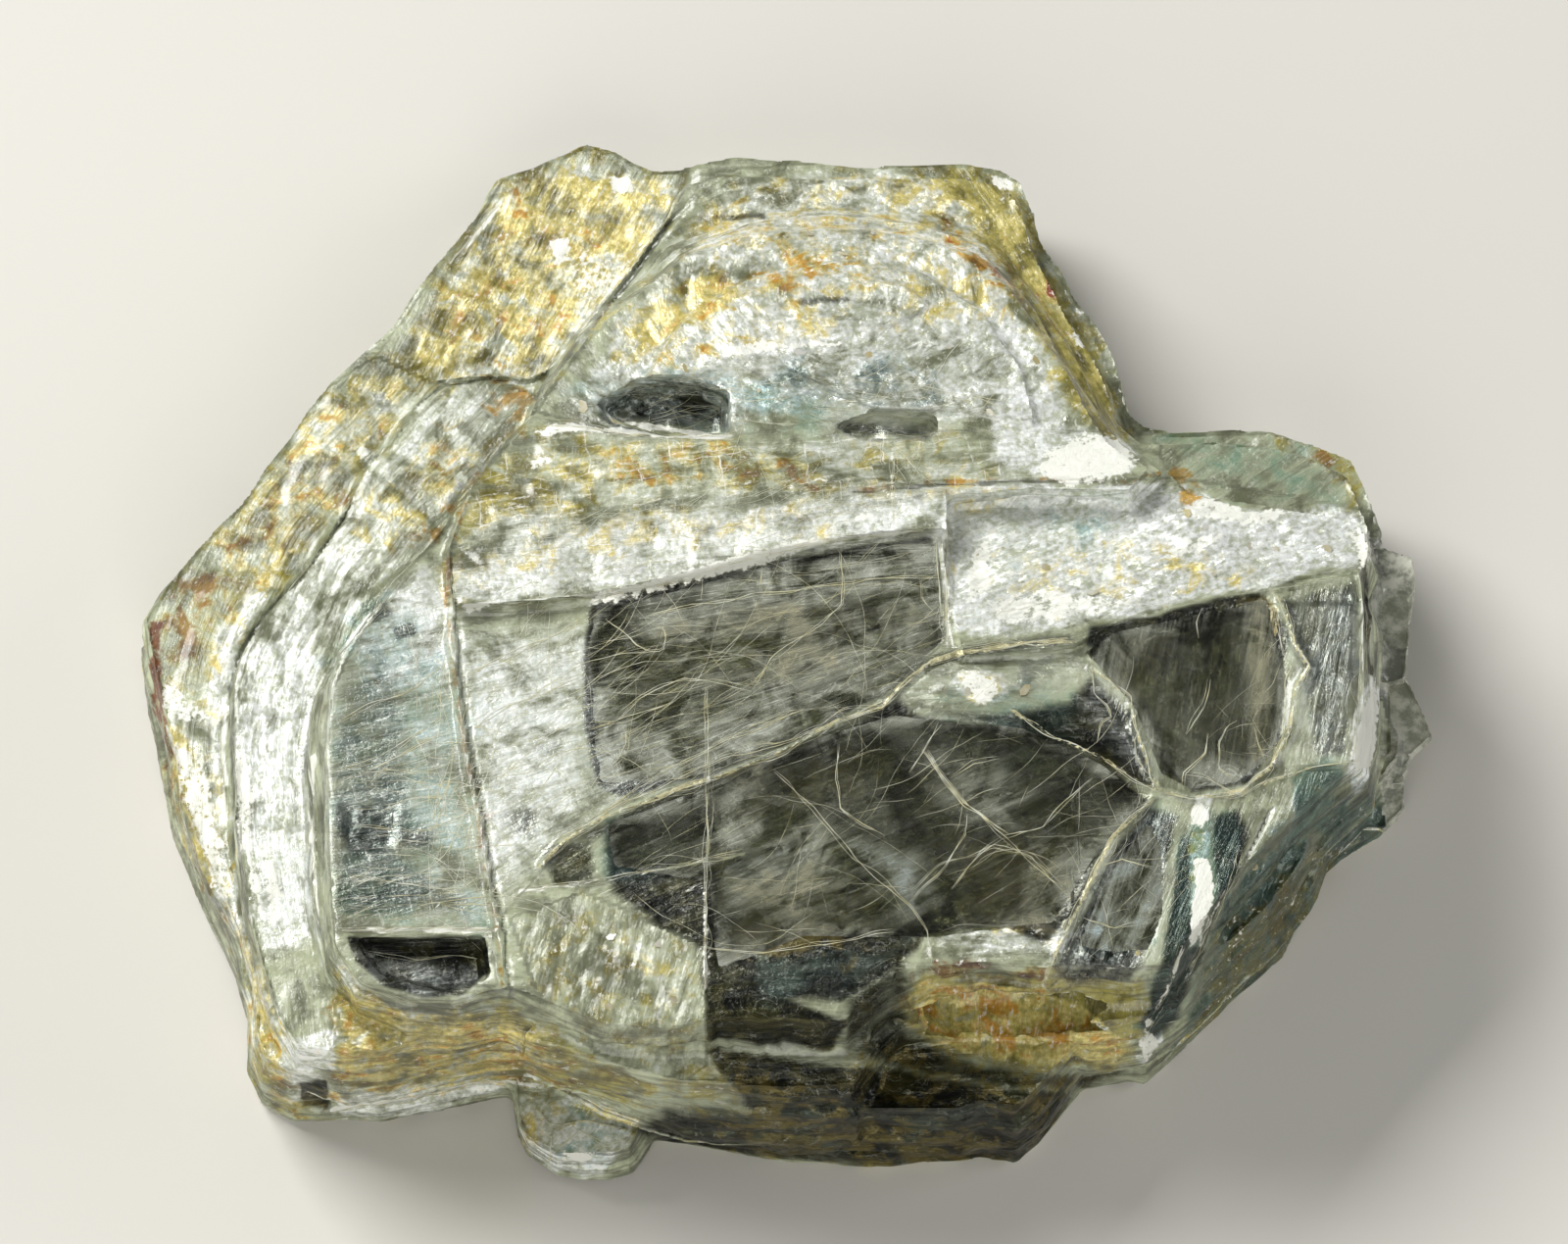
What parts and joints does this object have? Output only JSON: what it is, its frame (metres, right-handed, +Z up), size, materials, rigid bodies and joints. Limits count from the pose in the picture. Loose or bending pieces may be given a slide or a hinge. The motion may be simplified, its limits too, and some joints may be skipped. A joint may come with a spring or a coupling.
{
  "type": "mica crystal",
  "caption": "Hand-sized book of mica sheets that lies flat on a cleavage face, stepped like contour lines up to a front plate with clear windows, raised veins and a rusty pocket.",
  "frame": {"origin": "middle of the whole bounding box, on the flat cleavage face that the crystal rests on", "axes": "+Z straight up, along the crystal's c axis, square to its sheets; +X along the longest side; -Y towards the steep front wall and the toe"},
  "size_m": [0.1328, 0.1094, 0.033],
  "materials": {
    "muscovite": "pearly, glassy and partly clear on the cleavage faces, with ochre iron stain at the edges"
  },
  "bodies": {
    "root": {"mica_crystal": "muscovite"}
  },
  "joints": []
}
